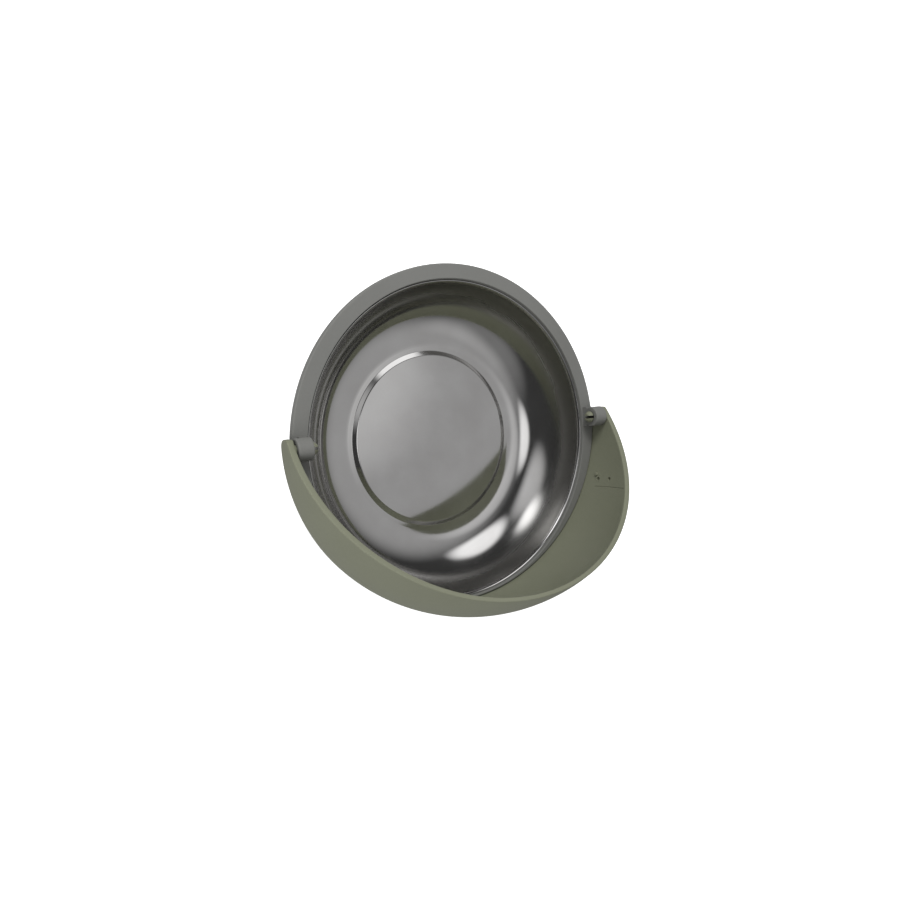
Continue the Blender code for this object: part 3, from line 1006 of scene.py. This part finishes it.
magnet_line = rounded([
    (MAGNET_BORE_R, magnet_high.z, MAGNET_EDGE),
    (magnet_high.x, magnet_high.z, MAGNET_EDGE),
    (magnet_high.x, magnet_low.z, MAGNET_EDGE),
    (MAGNET_BORE_R, magnet_low.z, MAGNET_EDGE),
], steps=3, guard=SMALL_GUARD)
magnet = add_object("ferrite_ring", turned(magnet_line + magnet_line[:1], ferrite, BASE_STEPS), ferrite)
settle(magnet, "tray", "ferrite", "ring_magnet")

# %% [markdown]
# ## Stud, washer and nut
# The stud's thread is a small triangle that follows a helix. Geometry Nodes has a Spiral curve and Curve to
# Mesh for exactly that, so a second tree sweeps the thread, and the ridge lies a little way into the shank.

# %% The thread tree
THREAD_STEPS = 24
RIDGE_CORNERS = 3


def thread_tree():
    tree, source = new_tree("thread", Shank='Geometry', Radius='Float', Length='Float', Pitch='Float',
                            Ridge='Float', Finish='Material')
    turns = calc(tree, 'DIVIDE', source["Length"], source["Pitch"])
    helix = add_node(tree, 'GeometryNodeCurveSpiral', {
        "Resolution": THREAD_STEPS, "Rotations": turns, "Start Radius": source["Radius"],
        "End Radius": source["Radius"], "Height": source["Length"]}).outputs[0]
    ridge = add_node(tree, 'GeometryNodeCurvePrimitiveCircle', {"Resolution": RIDGE_CORNERS,
                                                                "Radius": source["Ridge"]}).outputs[0]
    swept = add_node(tree, 'GeometryNodeCurveToMesh', {0: helix, 1: ridge, "Fill Caps": True}).outputs[0]
    joined = add_node(tree, 'GeometryNodeJoinGeometry')
    for shape in (swept, source["Shank"]):
        tree.links.new(shape, joined.inputs[0])
    return end_tree(tree, joined.outputs[0], source["Finish"])


THREAD = thread_tree()
print("thread tree with", len(THREAD.nodes), "nodes")

# %% Stud, washer and nut
stud_low, stud_high = box_mm("weld_stud")
washer_low, washer_high = box_mm("plain_washer")
nut_low, nut_high = box_mm("lock_nut")
STUD_R = 2.5
STUD_FLANGE_T = 1.2
STUD_TIP = 0.5
THREAD_PITCH = 0.8
THREAD_RIDGE = 0.28
THREAD_LENGTH = 6.4
SHANK_R = STUD_R - THREAD_RIDGE
STUD_STEPS = 48
WASHER_EDGE = 0.1
WASHER_STEPS = 64

stud_top = stud_high.z + PLATEAU_CROWN
stud_line = rounded([
    (0, stud_top, 0),
    (stud_high.x, stud_top, CRISP_EDGE),
    (stud_high.x, stud_high.z - STUD_FLANGE_T, CRISP_EDGE),
    (SHANK_R, stud_high.z - STUD_FLANGE_T, 0),
    (SHANK_R, stud_low.z + STUD_TIP, 0),
    (SHANK_R - STUD_TIP, stud_low.z, 0),
    (0, stud_low.z, 0),
], steps=3)


def threaded(name, shank, start_z, finish):
    """Shank with a thread swept round it from start_z upwards."""
    shank.transform(Matrix.Translation((0, 0, -start_z * MM)))
    mesh = run_tree(THREAD, shank, {
        "Radius": SHANK_R * MM, "Length": THREAD_LENGTH * MM, "Pitch": THREAD_PITCH * MM,
        "Ridge": THREAD_RIDGE * MM, "Finish": finish})
    mesh.transform(Matrix.Translation((0, 0, start_z * MM)))
    return add_object(name, outwards(mesh), finish)


stud = threaded("welded_stud", turned(stud_line, zinc, STUD_STEPS), stud_low.z + STUD_TIP, zinc)
settle(stud, "tray", "zinc_steel", "weld_stud")

washer_line = rounded([
    (HOLE_R, washer_high.z, WASHER_EDGE),
    (washer_high.x, washer_high.z, FINE_EDGE),
    (washer_high.x, washer_low.z, WASHER_EDGE),
    (HOLE_R, washer_low.z, WASHER_EDGE),
], steps=3)
washer = add_object("flat_washer", turned(washer_line + washer_line[:1], zinc, WASHER_STEPS), zinc)
settle(washer, "tray", "zinc_steel", "plain_washer")

# %% [markdown]
# A nut is a hexagon whose corners are turned off to a cone. Cutting a cone with a Boolean is one way. Here
# the two outlines are laid out in layers instead: at each height a point is as far out as the hexagon or
# the cone allows.

# %% Nut
NUT_FLATS = 8.0
NUT_CHAMFER = math.tan(math.radians(30))
NUT_FACE_R = NUT_FLATS / 2 - 0.1
NUT_STEPS = 72
NUT_LAYERS = 24
NUT_SHARP = 25


def nut_r(turn, z):
    """Outer radius of the nut in direction turn at height z."""
    across = (turn + math.pi / 6) % (math.pi / 3) - math.pi / 6
    hexagon = NUT_FLATS / 2 / math.cos(across + math.pi / 6 if across < 0 else across - math.pi / 6)
    depth = min(z - nut_low.z, nut_high.z - z)
    return min(hexagon, NUT_FACE_R + depth / NUT_CHAMFER)


def nut_rows():
    tall = nut_high.z - nut_low.z
    heights = [nut_low.z + tall * i / NUT_LAYERS for i in range(NUT_LAYERS + 1)]
    mouth = HOLE_R + FINE_EDGE
    bore = [
        (mouth, nut_high.z),
        (HOLE_R, nut_high.z - FINE_EDGE),
        (HOLE_R, nut_low.z + FINE_EDGE),
        (mouth, nut_low.z),
    ]
    rows = []
    for i in range(NUT_STEPS):
        turn = math.tau * i / NUT_STEPS
        column = [(nut_r(turn, z), z) for z in heights] + bore
        rows.append([(r * math.cos(turn), r * math.sin(turn), z) for r, z in column])
    return rows


nut = add_object("hex_nut", outwards(grid_mesh("hex_nut", nut_rows(), True, True), NUT_SHARP), zinc)
settle(nut, "tray", "zinc_steel", "lock_nut")

# %% [markdown]
# ## Studio
# The tray stands on a plain white floor under plain soft light. A mirror shows whatever is around it, so
# the room matters: its sky is dim, with seven round soft lights, each given by its heading and height as
# a photographer would place it. The plastic needs more light than the mirror should show, so two
# big soft panels light it without appearing in reflections. The floor isn't mirrored and throws no light
# back, because it is brighter than a real one would be: a soft glow below the horizon stands in for it
# under the dish.

# %% Floor
FLOOR_SIZE = 8.0
FLOOR_GLOW = 0.6


def floor_finish():
    made, tree, shader, place = new_finish("studio_floor")
    soft = noise(tree, place, 3.0, 2.0)
    colour = blend_colours(tree, span(tree, soft, 0.0, 1.0), (0.93, 0.93, 0.93, 1), (0.95, 0.95, 0.95, 1))
    tree.links.new(colour, shader.inputs["Base Color"])
    shader.inputs["Roughness"].default_value = 0.9
    shader.inputs["Specular IOR Level"].default_value = 0.0
    shader.inputs["Emission Color"].default_value = (1, 1, 1, 1)
    shader.inputs["Emission Strength"].default_value = FLOOR_GLOW
    return made


edge = FLOOR_SIZE / 2 / MM
floor_mesh = grid_mesh("studio_floor", [[(x, y, 0) for x in (-edge, edge)] for y in (-edge, edge)])
floor = add_object("studio_floor", floor_mesh, floor_finish())
floor.visible_diffuse = False
floor.visible_glossy = False
print("floor", FLOOR_SIZE, "m wide, normal", tuple(floor_mesh.polygons[0].normal))

# %% Sky of the room
ROOM_DIM = 0.05
ROOM_FILL = 0.62
ROOM_WHITE = 1.1
GROUND_GLOW = 0.3
GROUND_EDGE = 0.15
ROOM_LIGHTS = {
    "ceiling lamp": dict(heading=195, height=84, full=4, none=13, strength=1.1),
    "upper window": dict(heading=10, height=72, full=5, none=14, strength=0.28),
    "back window": dict(heading=76, height=45, full=10, none=20, strength=1.25),
    "low window": dict(heading=122, height=22, full=4, none=16, strength=2.1),
    "left wall": dict(heading=138, height=48, full=8, none=26, strength=0.6),
    "right wall": dict(heading=-10, height=48, full=5, none=50, strength=0.37),
    "front wall": dict(heading=-85, height=52, full=6, none=32, strength=0.18),
}


def soft_light(tree, look, heading, height, full, none, strength):
    """Glow of a round light, in degrees: heading from +X towards +Y, and height above the horizon.

    It has its full strength inside one angle from its middle, and none past another.
    """
    tilt = Matrix.Rotation(math.radians(-height), 3, 'Y')
    aim = Matrix.Rotation(math.radians(heading), 3, 'Z') @ tilt.col[0]
    toward = add_node(tree, 'ShaderNodeVectorMath', {0: look, 1: aim}, operation='DOT_PRODUCT')
    glow = add_node(tree, 'ShaderNodeMapRange', {
        "Value": toward.outputs["Value"], "From Min": math.cos(math.radians(none)),
        "From Max": math.cos(math.radians(full)), "To Max": strength}, interpolation_type='SMOOTHSTEP')
    return glow.outputs["Result"]


def room_sky():
    world = bpy.data.worlds.new("room_sky")
    world.use_nodes = True
    tree = world.node_tree
    look = add_node(tree, 'ShaderNodeTexCoord').outputs["Generated"]
    rise = add_node(tree, 'ShaderNodeSeparateXYZ', {0: look}).outputs["Z"]
    glow = span(tree, rise, ROOM_DIM, GROUND_GLOW, 0.0, -GROUND_EDGE)
    for light in ROOM_LIGHTS.values():
        glow = calc(tree, 'ADD', glow, soft_light(tree, look, **light))
    ray = add_node(tree, 'ShaderNodeLightPath').outputs
    lit = add_node(tree, 'ShaderNodeMix', {0: ray["Is Diffuse Ray"], 2: glow, 3: ROOM_FILL}).outputs[0]
    shown = add_node(tree, 'ShaderNodeMix', {0: ray["Is Camera Ray"], 2: lit, 3: ROOM_WHITE}).outputs[0]
    tree.links.new(shown, tree.nodes["Background"].inputs["Strength"])
    tree.nodes["Background"].inputs["Color"].default_value = (1, 1, 1, 1)
    world.cycles.sampling_method = 'NONE'
    bpy.context.scene.world = world


room_sky()
print("room sky set")

# %% Soft panels
TRAY_MIDDLE = Vector((0, 0, 0.03))


def soft_panel(name, place, size, power):
    """Square area light, in metres and watts, that faces the tray but isn't mirrored by it."""
    data = bpy.data.lights.new(name, 'AREA')
    data.size = size
    data.energy = power
    made = bpy.data.objects.new(name, data)
    bpy.context.scene.collection.objects.link(made)
    made.location = place
    made.rotation_euler = (TRAY_MIDDLE - Vector(place)).to_track_quat('-Z', 'Y').to_euler()
    made.visible_glossy = False
    made.visible_camera = False


soft_panel("key_panel", place=(-0.15, 0.60, 0.50), size=0.30, power=4.2)
soft_panel("front_panel", place=(-0.58, -0.32, 0.22), size=0.50, power=2.0)
bpy.context.scene.view_settings.view_transform = 'Standard'
print("panels lit")
